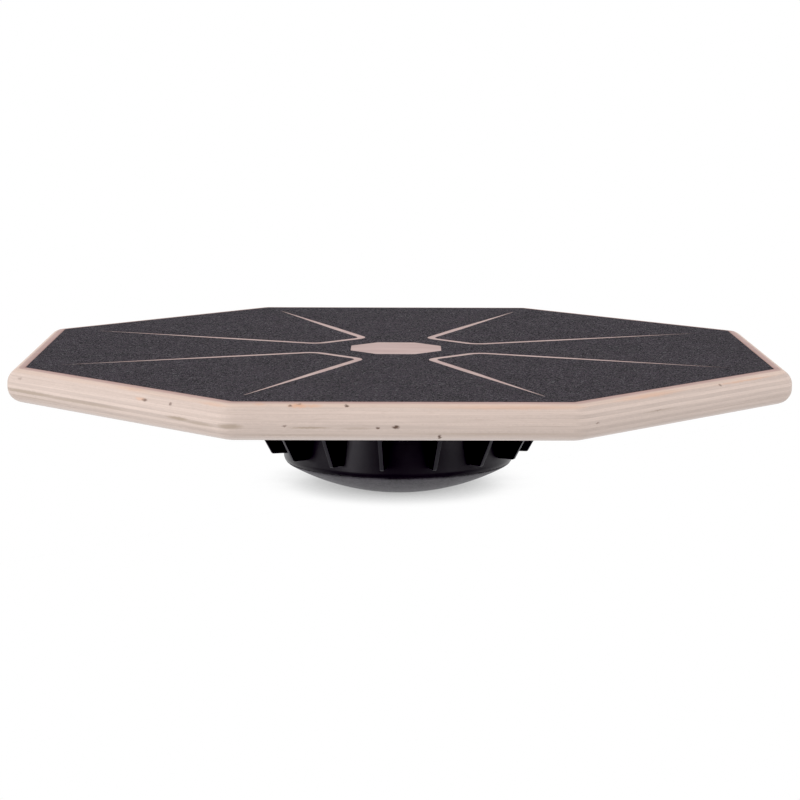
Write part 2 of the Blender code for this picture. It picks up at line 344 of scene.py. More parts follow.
# The wood's colours
# The low and high ply colours paint shade, darker towards the bottom of the edge
SHADED_LOW_PLY_COLOUR = (0.450, 0.374, 0.336)
LIT_HIGH_PLY_COLOUR = (0.529, 0.427, 0.379)
TOP_PLY_COLOUR = (0.545, 0.415, 0.348)
GLUE_COLOUR = (0.27, 0.21, 0.165)
THIN_LINE_COLOUR = (0.31, 0.245, 0.20)
# Painted light from the floor on the lower rounding
FLOOR_LIT_ROUNDING_COLOUR = (0.55, 0.49, 0.465)
FACE_DARK_COLOUR = (0.415, 0.283, 0.265)
FACE_LIGHT_COLOUR = (0.475, 0.345, 0.322)
# Painted shadow along the grip sheet's edge
SHEET_SHADOW_COLOUR = (0.31, 0.155, 0.125)
PORE_COLOUR = (0.33, 0.25, 0.20)
STAIN_COLOUR = (0.57, 0.335, 0.225)
STREAK_COLOUR = (0.29, 0.23, 0.18)
KNOT_COLOUR = (0.10, 0.06, 0.045)

# Marks in the deck's edge. Each has the side's angle, the place along that side from its middle
# (counter-clockwise), the depth below the top, half the length, half the height (all in mm) and the strength.
# They reach MARK_REACH mm into the wood, are full up to MARK_FULL of their size and fade out by MARK_FADED.
KNOTS = [
    (270, -52.3, 1.0, 0.8, 0.45, 0.8), (270, -48.2, 0.5, 1.4, 0.2, 0.6), (270, -26.2, 1.0, 1.2, 0.5, 1.0),
    (270, -11.8, 10.7, 1.0, 0.5, 0.9), (270, -3.7, 10.4, 1.6, 0.7, 1.0), (270, 16.6, 15.2, 0.8, 1.1, 1.0),
    (270, -54.9, 9.9, 1.1, 0.4, 0.6), (225, 25.6, 4.3, 2.0, 0.55, 0.75), (225, 44.5, 4.1, 1.1, 0.7, 0.65),
    (225, -72.4, 4.2, 1.8, 0.55, 0.35), (315, 24.4, 2.1, 0.9, 0.6, 0.6), (315, -73.0, 9.4, 1.3, 0.4, 0.5),
    (315, -28.0, 8.3, 2.4, 0.3, 0.3), (135, 10.0, 6.0, 1.8, 0.6, 0.9), (90, -30.0, 9.0, 1.6, 0.6, 0.9),
    (45, -20.0, 12.0, 1.7, 0.7, 0.9), (0, 52.0, 4.5, 1.2, 0.5, 0.8), (180, 12.0, 5.5, 1.5, 0.6, 0.9),
]
STREAKS = [
    (270, -43.2, 10.7, 8.5, 0.45, 0.8), (270, -22.0, 10.9, 6.5, 0.6, 0.3), (270, -80.0, 10.2, 5.5, 1.2, 0.75),
    (225, 51.0, 10.1, 7.5, 0.75, 0.9), (225, 66.0, 10.8, 9.0, 0.9, 0.5), (225, -64.0, 10.3, 22.0, 0.9, 0.7),
    (225, -22.0, 10.6, 34.0, 0.9, 0.5), (225, -57.0, 10.2, 3.0, 0.5, 0.4), (225, -58.0, 13.0, 24.0, 0.5, 0.3),
    (270, 40.0, 13.6, 42.0, 0.6, 0.35), (270, -50.0, 14.4, 30.0, 0.5, 0.3),
    (315, -27.0, 8.5, 12.0, 0.4, 0.35),
    (0, 30.0, 8.2, 26.0, 0.6, 0.6), (45, 20.0, 5.6, 34.0, 0.6, 0.5), (90, 40.0, 3.8, 18.0, 0.6, 0.7),
    (90, -20.0, 12.0, 40.0, 0.7, 0.5), (135, -34.0, 8.8, 24.0, 0.6, 0.6), (180, -20.0, 10.8, 40.0, 0.7, 0.6),
]
STAINS = [
    (270, -48.6, 1.0, 4.6, 0.9, 0.95), (270, -41.6, 1.1, 4.2, 0.7, 0.6), (270, -66.5, 0.5, 3.2, 0.5, 0.6),
    (270, 52.0, 1.5, 36.0, 1.0, 0.35), (315, -30.0, 1.3, 24.0, 0.9, 0.5), (315, 46.0, 1.8, 22.0, 0.4, 0.5),
    (225, 22.5, 4.1, 3.6, 0.7, 0.5), (225, 12.0, 0.8, 12.0, 0.6, 0.35), (225, 72.0, 1.4, 9.0, 0.7, 0.3),
    (90, -34.0, 2.0, 9.0, 1.0, 0.6), (0, 55.0, 4.2, 5.0, 1.0, 0.5),
]
MARK_REACH = 8.0
MARK_FULL = 0.55
MARK_FADED = 1.35


def marks_mask(tree, place, marks, ragged):
    """How strongly each point of the deck's edge shows one of the marks, their outlines ragged by a noise."""
    grains = add_node(tree, "ShaderNodeTexNoise", {"Vector": place, "Scale": 700.0, "Detail": 2.0})
    centred = add_node(tree, "ShaderNodeVectorMath", {0: grains.outputs["Color"], 1: (0.5,) * 3},
                       operation='SUBTRACT')
    moved = add_node(tree, "ShaderNodeVectorMath", {0: centred.outputs[0], 1: (ragged,) * 3, 2: place},
                     operation='MULTIPLY_ADD').outputs[0]
    total = 0.0
    for side, along, depth, half_length, half_height, strength in marks:
        turn = Matrix.Rotation(math.radians(side), 3, 'Z')
        centre = turn @ Vector((DECK_HALF_WIDTH, along * MM, DECK_HIGH.z - depth * MM))
        size = Vector((MARK_REACH, half_length, half_height)) * MM
        sockets = {"Vector": moved, "Location": centre, "Rotation": (0, 0, math.radians(side)), "Scale": size}
        local = add_node(tree, "ShaderNodeMapping", sockets, vector_type='TEXTURE').outputs[0]
        distance = add_node(tree, "ShaderNodeVectorMath", {0: local}, operation='LENGTH').outputs["Value"]
        spot = map_range(tree, distance, MARK_FADED, MARK_FULL, 0.0, strength)
        total = calculate(tree, 'MAXIMUM', spot, total)
    return total


def ply_level(tree, place, axes):
    """Height counted in plies from the bottom, a little wavy, and kept within the panel."""
    swell = noise(tree, scaled(tree, place, (1.0, 1.0, 0.0)), scale=11.0, detail=2.0)
    height = deviation(tree, swell, 1.1 * MM, axes["Z"])
    level = calculate(tree, 'DIVIDE', calculate(tree, 'SUBTRACT', height, DECK_LOW.z), PLY_PITCH)
    return calculate(tree, 'MINIMUM', calculate(tree, 'MAXIMUM', level, 0.01), PLY_COUNT - 0.01)


def ply_tones(tree, level):
    """The veneer's own tone, held constant through its thickness."""
    ramp = add_node(tree, "ShaderNodeValToRGB", {0: calculate(tree, 'DIVIDE', level, PLY_COUNT)})
    ramp.color_ramp.interpolation = 'CONSTANT'
    elements = ramp.color_ramp.elements
    for i, tone in enumerate(PLY_TONES):
        element = elements[i] if i < 2 else elements.new(i / PLY_COUNT)
        element.position = i / PLY_COUNT
        element.color = (tone / 2, tone / 2, tone / 2, 1.0)
    return calculate(tree, 'MULTIPLY', ramp.outputs["Color"], 2.0)


def ply_noise(tree, where, offset, stretch, detail, roughness=0.5):
    """A stretched noise. The offset makes it differ from ply to ply."""
    spot = add_node(tree, "ShaderNodeVectorMath", {0: where, 1: stretch, 2: offset}, operation='MULTIPLY_ADD')
    return noise(tree, spot.outputs[0], detail=detail, roughness=roughness)


def edge_colour(tree, level, crosswise, facing, layers):
    """The cut plies: each veneer's tone under its fibres, streaks and clouds, with the top one browner, a
    painted sheen on slanting sides and painted shade that darkens the edge towards the bottom.
    """
    # Painted sheen: veneers across each other are painted lighter and darker in turn where the side cuts both
    # at a slant, standing in for how they catch the light
    slant = calculate(tree, 'MULTIPLY', facing["X"], facing["Y"])
    painted_sheen = calculate(tree, 'MULTIPLY', calculate(tree, 'SUBTRACT', crosswise, 0.5), slant)
    tone = calculate(tree, 'MULTIPLY_ADD', painted_sheen, 0.26, ply_tones(tree, level))
    for layer, amount in layers:
        tone = deviation(tree, layer, amount, tone)
    # Painted shade: the cut edge is painted darker towards the bottom, as if lit from above
    colour = mix_colour(tree, map_range(tree, level, 0.0, PLY_COUNT), SHADED_LOW_PLY_COLOUR, LIT_HIGH_PLY_COLOUR)
    colour = mix_colour(tree, map_range(tree, level, 9.6, 10.1, 0.0, 0.7), colour, TOP_PLY_COLOUR)
    return tinted(tree, colour, tone)


def glue_mask(tree, level, clouds, side_on):
    """The glue lines between the plies, broken up by the clouds."""
    glue = calculate(tree, 'ABSOLUTE', calculate(tree, 'SUBTRACT', calculate(tree, 'FRACT', level), 0.5))
    glue = map_range(tree, glue, 0.43, 0.5, 0.0, 0.3)
    glue = calculate(tree, 'MULTIPLY', glue, side_on)
    return calculate(tree, 'MULTIPLY', glue, map_range(tree, clouds, 0.35, 0.6))


def floor_lit_rounding_mask(tree, facing):
    """The rounding at the bottom, without the underside: where light from the floor is painted on in a lighter
    colour.
    """
    rounding = map_range(tree, facing["Z"], -0.66, -0.93, 0.0, 0.75)
    return calculate(tree, 'MULTIPLY', rounding, map_range(tree, facing["Z"], -0.99, -0.95))


def octagon_reach(tree, axes):
    """Half the width across flats of the octagon through each point."""
    diagonal = math.sqrt(0.5)
    distances = [axes["X"], axes["Y"]]
    for sign in (diagonal, -diagonal):
        across = calculate(tree, 'MULTIPLY', axes["Y"], sign)
        distances.append(calculate(tree, 'MULTIPLY_ADD', axes["X"], diagonal, across))
    reach = 0.0
    for distance in distances:
        reach = calculate(tree, 'MAXIMUM', calculate(tree, 'ABSOLUTE', distance), reach)
    return reach


def sheet_shadow_mask(tree, axes, facing):
    """The top face outside the grip sheet, painted darker brown as a painted shadow of the sheet's edge, most
    of all beside the sheet.
    """
    reach = octagon_reach(tree, axes)
    rim = map_range(tree, reach, GRIP_HALF_WIDTH - 1.5 * MM, GRIP_HALF_WIDTH - 0.5 * MM)
    # The painted shadow fades from strong beside the sheet to weak further out
    shadow_fade = map_range(tree, reach, GRIP_HALF_WIDTH + 0.4 * MM, GRIP_HALF_WIDTH + 1.3 * MM, 0.75, 0.35)
    rim = calculate(tree, 'MULTIPLY', rim, shadow_fade)
    return calculate(tree, 'MULTIPLY', rim, map_range(tree, facing["Z"], 0.93, 0.985))


def plywood_material():
    """Eleven birch plies, their grain crosswise in turn, with glue lines and marks on the cut edges."""
    material, tree, shader, place = new_material("birch_plywood", 0.55, 0.3)
    axes = add_node(tree, "ShaderNodeSeparateXYZ", {0: place}).outputs
    normal = add_node(tree, "ShaderNodeNewGeometry").outputs["Normal"]
    facing = add_node(tree, "ShaderNodeSeparateXYZ", {0: normal}).outputs
    sideways = calculate(tree, 'SUBTRACT', 1.0, calculate(tree, 'ABSOLUTE', facing["Z"]))
    side_on = map_range(tree, sideways, 0.05, 0.4)
    level = ply_level(tree, place, axes)
    ply = calculate(tree, 'FLOOR', level)
    crosswise = calculate(tree, 'MODULO', ply, 2.0)

    # Each ply's fibres run along X or Y, so its texture is stretched that way
    ply_shift = calculate(tree, 'MULTIPLY', ply, 3.7)
    offset = combine(tree, ply_shift, ply_shift, ply_shift)
    swapped = combine(tree, axes["Y"], axes["X"], axes["Z"])
    along_grain = add_node(tree, "ShaderNodeMix", {0: crosswise, 4: place, 5: swapped},
                           data_type='VECTOR').outputs[1]
    fibres = ply_noise(tree, along_grain, offset, (24.0, 560.0, 1500.0), 3.0, 0.6)
    pores = ply_noise(tree, along_grain, offset, (220.0, 2600.0, 2600.0), 1.0)
    figure = ply_noise(tree, along_grain, offset, (30.0, 110.0, 0.0), 3.0, 0.6)
    streaks = ply_noise(tree, place, offset, (15.0, 15.0, 1500.0), 3.0, 0.65)
    clouds = ply_noise(tree, place, offset, (30.0, 30.0, 160.0), 2.0)

    layers = ((fibres, 0.22), (streaks, 0.42), (clouds, 0.12))
    colour = edge_colour(tree, level, crosswise, facing, layers)
    glue = glue_mask(tree, level, clouds, side_on)
    colour = mix_colour(tree, glue, colour, GLUE_COLOUR)
    thin_lines = calculate(tree, 'MULTIPLY', map_range(tree, streaks, 0.60, 0.76), side_on)
    colour = mix_colour(tree, calculate(tree, 'MULTIPLY', thin_lines, 0.6), colour, THIN_LINE_COLOUR)
    # Painted light: the downward-facing lower rounding is painted lighter, as if lit from the floor
    colour = mix_colour(tree, floor_lit_rounding_mask(tree, facing), colour, FLOOR_LIT_ROUNDING_COLOUR)

    face = mix_colour(tree, map_range(tree, figure, 0.35, 0.65), FACE_DARK_COLOUR, FACE_LIGHT_COLOUR)
    face = tinted(tree, face, deviation(tree, fibres, 0.4, deviation(tree, clouds, 0.2, 1.0)))
    colour = mix_colour(tree, map_range(tree, facing["Z"], 0.94, 0.99), colour, face)
    # Painted shadow: a dark brown band on the top face along the grip sheet's edge
    colour = mix_colour(tree, sheet_shadow_mask(tree, axes, facing), colour, SHEET_SHADOW_COLOUR)

    colour = mix_colour(tree, map_range(tree, pores, 0.60, 0.75, 0.0, 0.3), colour, PORE_COLOUR)
    colour = mix_colour(tree, marks_mask(tree, place, STAINS, 1.2 * MM), colour, STAIN_COLOUR)
    colour = mix_colour(tree, marks_mask(tree, place, STREAKS, 0.6 * MM), colour, STREAK_COLOUR)
    knots = marks_mask(tree, place, KNOTS, 1.6 * MM)
    colour = mix_colour(tree, knots, colour, KNOT_COLOUR)
    tree.links.new(colour, shader.inputs["Base Color"])
    tree.links.new(map_range(tree, fibres, 0.3, 0.7, 0.5, 0.68), shader.inputs["Roughness"])
    relief = calculate(tree, 'SUBTRACT', fibres, calculate(tree, 'MULTIPLY', glue, 1.5))
    relief = calculate(tree, 'SUBTRACT', relief, calculate(tree, 'MULTIPLY', knots, 2.0))
    tree.links.new(bump(tree, relief, 0.05 * MM), shader.inputs["Normal"])
    return material


# ---------------------------------------------------------------- other materials

def grip_material():
    """Mineral grit in a dark binder: tight grains, a few of them with painted glints, and a soft mottle."""
    material, tree, shader, place = new_material("grip_grit", 0.8, 0.2)
    grains = 1700.0
    cells = add_node(tree, "ShaderNodeTexVoronoi", {"Vector": place, "Scale": grains}, feature='F1')
    grain_tone = add_node(tree, "ShaderNodeSeparateXYZ", {0: cells.outputs["Color"]}).outputs["X"]
    mottle = noise(tree, place, scale=620.0, detail=3.0, roughness=0.7)
    patches = noise(tree, place, scale=60.0, detail=2.0)
    tone = deviation(tree, patches, 0.5, deviation(tree, mottle, 1.6, grain_tone))
    colour = mix_colour(tree, map_range(tree, tone, 0.1, 1.1), (0.022, 0.0158, 0.0240), (0.138, 0.098, 0.148))
    # Painted glints: a few grains are painted light grey, as if catching the light
    painted_glints = map_range(tree, grain_tone, 0.975, 0.985)
    colour = mix_colour(tree, painted_glints, colour, (0.30, 0.28, 0.32))
    tree.links.new(colour, shader.inputs["Base Color"])
    tree.links.new(map_range(tree, grain_tone, 0.0, 1.0, 0.9, 0.55), shader.inputs["Roughness"])
    stones = calculate(tree, 'MULTIPLY', cells.outputs["Distance"], -grains / 2)
    stones = calculate(tree, 'ADD', stones, grain_tone)
    tree.links.new(bump(tree, stones, 0.12 * MM), shader.inputs["Normal"])
    return material


def black_plastic_material():
    """Moulded ABS with a fine spark-eroded texture; the fins' outer edges are painted a lighter grey, a painted
    light where they catch the light.
    """
    material, tree, shader, place = new_material("black_plastic", 0.32, 0.4)
    shader.inputs["Specular Tint"].default_value = (0.97, 0.93, 1.0, 1.0)
    grain = noise(tree, place, scale=2600.0, detail=2.0, roughness=0.6)
    patches = noise(tree, place, scale=45.0, detail=3.0)
    colour = mix_colour(tree, patches, (0.0032, 0.0022, 0.0038), (0.0052, 0.0038, 0.0062))
    axes = add_node(tree, "ShaderNodeSeparateXYZ", {0: place}).outputs
    radius = add_node(tree, "ShaderNodeVectorMath", {0: combine(tree, axes["X"], axes["Y"], 0.0)},
                      operation='LENGTH').outputs["Value"]
    rise = calculate(tree, 'SUBTRACT', axes["Z"], FIN_BOTTOM)
    tip = calculate(tree, 'MULTIPLY_ADD', rise, FIN_SLOPE, FIN_BOTTOM_RADIUS)
    # Painted light: the fins' outer edges are painted lighter grey, standing in for the light they catch
    painted_edge_light = map_range(tree, calculate(tree, 'SUBTRACT', radius, tip), -0.6 * MM, -0.25 * MM)
    below_flange = calculate(tree, 'LESS_THAN', axes["Z"], FLANGE_BOTTOM - 0.5 * MM)
    above_bottom = calculate(tree, 'GREATER_THAN', axes["Z"], FIN_BOTTOM)
    painted_edge_light = calculate(tree, 'MULTIPLY', painted_edge_light, calculate(tree, 'MULTIPLY', below_flange, above_bottom))
    painted_edge_light = calculate(tree, 'MULTIPLY', painted_edge_light, map_range(tree, patches, 0.3, 0.7, 0.8, 1.0))
    colour = mix_colour(tree, painted_edge_light, colour, (0.022, 0.021, 0.025))
    tree.links.new(colour, shader.inputs["Base Color"])
    tree.links.new(map_range(tree, patches, 0.3, 0.7, 0.29, 0.36), shader.inputs["Roughness"])
    tree.links.new(bump(tree, grain, 0.02 * MM), shader.inputs["Normal"])
    return material


def rubber_material():
    """Grey moulded rubber: matt, speckled, finely pebbled."""
    material, tree, shader, place = new_material("grey_rubber", 0.5, 0.3)
    cells = add_node(tree, "ShaderNodeTexVoronoi", {"Vector": place, "Scale": 1100.0}, feature='F1')
    pebble = add_node(tree, "ShaderNodeSeparateXYZ", {0: cells.outputs["Color"]}).outputs["X"]
    speckle = noise(tree, place, scale=1500.0, detail=2.0, roughness=0.7)
    patches = noise(tree, place, scale=90.0, detail=3.0, roughness=0.6)
    tone = deviation(tree, speckle, 0.9, deviation(tree, pebble, 0.6, patches))
    colour = mix_colour(tree, map_range(tree, tone, 0.1, 0.9), (0.012, 0.0105, 0.0135), (0.049, 0.043, 0.055))
    tree.links.new(colour, shader.inputs["Base Color"])
    tree.links.new(map_range(tree, speckle, 0.3, 0.7, 0.42, 0.6), shader.inputs["Roughness"])
    tree.links.new(bump(tree, tone, 0.08 * MM), shader.inputs["Normal"])
    return material


def zinc_material():
    """Zinc-plated steel with a slight brushed variation."""
    material, tree, shader, place = new_material("zinc_steel", 0.32, 0.5, metallic=1.0)
    streaks = noise(tree, scaled(tree, place, (900.0, 900.0, 3500.0)), detail=2.0)
    colour = mix_colour(tree, streaks, (0.50, 0.51, 0.53), (0.68, 0.69, 0.70))
    tree.links.new(colour, shader.inputs["Base Color"])
    tree.links.new(map_range(tree, streaks, 0.3, 0.7, 0.24, 0.42), shader.inputs["Roughness"])
    tree.links.new(bump(tree, streaks, 0.01 * MM), shader.inputs["Normal"])
    return material


# ---------------------------------------------------------------- deck and grip sheet

def octagon_ring(half_width, corner_radius, steps):
    """Outline of a regular octagon with flats on X and Y and rounded corners."""
    middle = (half_width - corner_radius) / math.cos(math.pi / SIDES)
    points = []
    for i in range(SIDES):
        angle = math.pi / SIDES + math.tau * i / SIDES
        centre = (middle * math.cos(angle), middle * math.sin(angle))
        points += arc(centre, corner_radius, angle - math.pi / SIDES, angle + math.pi / SIDES, steps)
    return points


def make_deck():
    """The panel, rounded over at both edges, with pilot holes for the screws."""
    outline = []
    for i in range(DECK_EDGE_STEPS + 1):
        angle = math.pi / 2 * i / DECK_EDGE_STEPS
        outline.append((DECK_EDGE_RADIUS * (1 - math.sin(angle)), DECK_EDGE_RADIUS * (1 - math.cos(angle))))
    levels = [(inset, DECK_LOW.z + rise) for inset, rise in outline]
    levels += [(inset, DECK_HIGH.z - rise) for inset, rise in reversed(outline)]
    levels.insert(0, (DECK_EDGE_RADIUS + DECK_SUPPORT, DECK_LOW.z))
    levels.append((DECK_EDGE_RADIUS + DECK_SUPPORT, DECK_HIGH.z))
    rings = []
    for inset, height in levels:
        ring = octagon_ring(DECK_HALF_WIDTH - inset, DECK_CORNER_RADIUS - inset, DECK_CORNER_STEPS)
        rings.append([(x, y, height) for x, y in ring])
    deck = new_object("deck_panel", lofted("deck_panel", rings))
    pilot_top = SCREW_HIGH.z + PILOT_EXTRA_DEPTH
    pilot = [(SCREW_HOLE_RADIUS, DECK_LOW.z - CUT_MARGIN), (SCREW_HOLE_RADIUS, pilot_top)]
    carve(deck, screw_ring("pilots", pilot), 'DIFFERENCE')
    smooth(deck)
    finish_piece(deck, plywood_material(), "plywood", "deck")


def slot_half_path():
    """Middle line of half a slot: in along the arm, then round the bend to the middle of the bridge."""
    turn = math.pi / 2 - ARM_ANGLE
    tangent = SLOT_BEND_RADIUS * math.tan(turn / 2)
    corner = SLOT_BRIDGE_DISTANCE / math.cos(ARM_ANGLE)
    arm = Vector((math.cos(ARM_ANGLE), math.sin(ARM_ANGLE)))
    side = Vector((-arm.y, arm.x))
    points = []
    for i in range(SLOT_TAPER_STEPS + 1):
        t = i / SLOT_TAPER_STEPS
        width = blend_value(SLOT_END_WIDTH, SLOT_WIDTH, t)
        points.append((arm * blend_value(SLOT_END, SLOT_TAPER_START, t), width))
    centre = arm * (corner + tangent) + side * SLOT_BEND_RADIUS
    for i in range(SLOT_BEND_STEPS + 1):
        angle = turn * i / SLOT_BEND_STEPS
        point = centre - side * SLOT_BEND_RADIUS * math.cos(angle) - arm * SLOT_BEND_RADIUS * math.sin(angle)
        points.append((point, SLOT_WIDTH))
    return points


def slot_outline():
    """A slot's outline: its middle line and the mirror image, widened to both sides."""
    half = slot_half_path()
    path = half + [(Vector((point.y, point.x)), width) for point, width in reversed(half)]
    left, right = [], []
    for i, (point, width) in enumerate(path):
        before = path[max(i - 1, 0)][0]
        after = path[min(i + 1, len(path) - 1)][0]
        along = (after - before).normalized()
        across = Vector((-along.y, along.x))
        left.append(point + across * width / 2)
        right.append(point - across * width / 2)
    return left + right[::-1]


def make_grip():
    """The die-cut sheet: an octagon with a window and four bent slots, its cut edges slightly broken."""
    place = Matrix.Translation((*PATTERN_SHIFT, 0)) @ Matrix.Rotation(PATTERN_TWIST, 4, 'Z')
    outlines = [octagon_ring(GRIP_HALF_WIDTH, GRIP_CORNER_RADIUS, GRIP_CORNER_STEPS)]
    window = octagon_ring(WINDOW_HALF_WIDTH, GRIP_CORNER_RADIUS, GRIP_CORNER_STEPS)
    outlines.append([place @ Vector((x, y, 0)) for x, y in window])
    for quarter in range(4):
        turn = place @ Matrix.Rotation(math.pi / 2 * quarter, 4, 'Z')
        outlines.append([turn @ point.to_3d() for point in slot_outline()])
    curve = bpy.data.curves.new("grip_outline", 'CURVE')
    curve.dimensions = '2D'
    curve.fill_mode = 'BOTH'
    curve.bevel_depth = GRIP_EDGE_RADIUS
    curve.bevel_resolution = 1
    curve.offset = -GRIP_EDGE_RADIUS
    curve.extrude = GRIP_SHOWN_THICKNESS / 2 - GRIP_EDGE_RADIUS
    for outline in outlines:
        spline = curve.splines.new('POLY')
        spline.points.add(len(outline) - 1)
        for point, where in zip(spline.points, outline):
            point.co = (where[0], where[1], 0.0, 1.0)
        spline.use_cyclic_u = True
    source = new_object("grip_outline", curve)
    depsgraph = bpy.context.evaluated_depsgraph_get()
    mesh = bpy.data.meshes.new_from_object(source.evaluated_get(depsgraph))
    bpy.data.objects.remove(source, do_unlink=True)
    bm = bmesh.new()
    bm.from_mesh(mesh)
    bmesh.ops.remove_doubles(bm, verts=bm.verts[:], dist=0.002 * MM)
    bmesh.ops.translate(bm, vec=(0, 0, DECK_HIGH.z + GRIP_SHOWN_THICKNESS / 2), verts=bm.verts[:])
    grip = new_object("grip_top", mesh_from_bmesh(bm, "grip_top"))
    smooth(grip, 35.0)
    finish_piece(grip, grip_material(), "grip", "grip_sheet")


# ---------------------------------------------------------------- base housing

def screw_ring(name, profile):
    """Copies of one turned shape on the screws' places, as a Boolean operand. The profile runs upwards."""
    bm = bmesh.new()
    for node in SCREW_NODES:
        low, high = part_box(node)
        centre = (low + high) / 2
        rings = turned_rings(profile, even_angles(HOLE_STEPS))
        part = lofted(name, [[(x + centre.x, y + centre.y, z) for x, y, z in ring] for ring in rings])
        bm.from_mesh(part)
        bpy.data.meshes.remove(part)
    return new_object(name, mesh_from_bmesh(bm, name))


def sphere_arc(sphere_radius, from_radius, to_radius, steps):
    """Profile points down in the dome, on a sphere concentric with the sole's."""
    start = -math.acos(from_radius / sphere_radius)
    end = -math.acos(to_radius / sphere_radius)
    return arc((0.0, SPHERE_CENTRE), sphere_radius, start, end, steps)


def corner_arc_centre():
    """Centre of the rounded corner that touches the drum's wall and the sole's sphere."""
    across = DRUM_RADIUS - DRUM_CORNER_RADIUS
    down = math.sqrt((SOLE_SPHERE_RADIUS - DRUM_CORNER_RADIUS) ** 2 - across ** 2)
    return across, SPHERE_CENTRE - down


def corner_arc_angle(height):
    return math.asin((height - corner_arc_centre()[1]) / DRUM_CORNER_RADIUS)


def drum_radius(height):
    bottom = corner_arc_centre()[1]
    return blend_value(DRUM_RADIUS, DRUM_RADIUS + DRUM_DRAFT, (height - bottom) / (FLANGE_BOTTOM - bottom))


def fin_half_thickness(height):
    return blend_value(FIN_HALF_BOTTOM, FIN_HALF_TOP, (height - FIN_BOTTOM) / (FLANGE_BOTTOM - FIN_BOTTOM))


def fin_tip_radius(height):
    if height < FIN_BOTTOM + FIN_CHAMFER:
        full = FIN_BOTTOM_RADIUS + FIN_SLOPE * FIN_CHAMFER
        return blend_value(FIN_BOTTOM_RADIUS - FIN_CHAMFER, full, (height - FIN_BOTTOM) / FIN_CHAMFER)
    return FIN_BOTTOM_RADIUS + FIN_SLOPE * (height - FIN_BOTTOM)


def half_fin(height, grow=0.0):
    """Half of one fin's outline in (x, y), from the middle of the bay before it to the fin's own middle.

    grow moves the whole outline outwards, into the bay, or inwards where it is negative.
    """
    drum = drum_radius(height) + max(grow, 0.0)
    half = fin_half_thickness(height) + grow
    tip = fin_tip_radius(height) + grow
    fillet = FIN_ROOT_FILLET
    reach = math.sqrt((drum + fillet) ** 2 - (half + fillet) ** 2)
    touch = math.atan2(half + fillet, reach)
    bay = arc((0, 0), drum, math.pi / FIN_COUNT, touch, BAY_STEPS)
    root = arc((reach, half + fillet), fillet, touch + math.pi, 1.5 * math.pi, FILLET_STEPS)[1:]
    edge_radius = min(FIN_EDGE_RADIUS, half * 0.9)
    edge = arc((tip - edge_radius, half - edge_radius), edge_radius, math.pi / 2, 0.0, EDGE_STEPS)
    return bay + root + edge + [(tip, 0.0)]


def flattened_half_fin(radius):
    """As many points as half_fin has, all on a circle, so that a plain ring joins onto a finned one."""
    outline = half_fin(FIN_BOTTOM)
    touch = math.atan2(outline[BAY_STEPS][1], outline[BAY_STEPS][0])
    rest = len(outline) - BAY_STEPS - 1
    angles = [blend_value(math.pi / FIN_COUNT, touch, i / BAY_STEPS) for i in range(BAY_STEPS + 1)]
    angles += [touch * (1 - (i + 1) / rest) for i in range(rest)]
    return [(radius * math.cos(a), radius * math.sin(a)) for a in angles]


def full_ring(half, height):
    """All the fins' outlines round the drum at one height, from half of one."""
    sector = [(x, -y) for x, y in half] + [(x, y) for x, y in reversed(half[:-1])]
    ring = []
    for i in range(FIN_COUNT):
        turn = Matrix.Rotation(FIRST_FIN_ANGLE + math.tau * i / FIN_COUNT, 2)
        ring += [(*(turn @ Vector(point)), height) for point in sector[:-1]]
    return ring


def round_ring(radius, height):
    if radius < ON_AXIS:
        return [(0.0, 0.0, height)]
    return full_ring(flattened_half_fin(radius), height)


def rib_plates():
    """The inner ribs, as a Boolean operand."""
    core = SOLE_SPHERE_RADIUS - SOLE_THICKNESS - DOME_WALL / 2
    pillar_middle = (PILLAR_RADIUS + PILLAR_BORE_RADIUS) / 2
    wall_middle = DRUM_RADIUS - DRUM_WALL / 2
    outline = sphere_arc(core, pillar_middle, wall_middle, 16)
    outline += [(wall_middle, RIB_WALL_HEIGHT), (pillar_middle, RIB_PILLAR_HEIGHT)]
    bm = bmesh.new()
    for i in range(RIB_COUNT):
        angle = FIRST_FIN_ANGLE + math.pi / FIN_COUNT + math.tau * i / RIB_COUNT
        turn = Matrix.Rotation(angle, 3, 'Z')
        sides = []
        for side in (-RIB_THICKNESS / 2, RIB_THICKNESS / 2):
            sides.append([bm.verts.new(turn @ Vector((radius, side, height))) for radius, height in outline])
        bm.faces.new(sides[0])
        bm.faces.new(sides[1])
        for j in range(len(outline)):
            k = (j + 1) % len(outline)
            bm.faces.new((sides[0][j], sides[0][k], sides[1][k], sides[1][j]))
    return new_object("rib_plates", mesh_from_bmesh(bm, "rib_plates"))


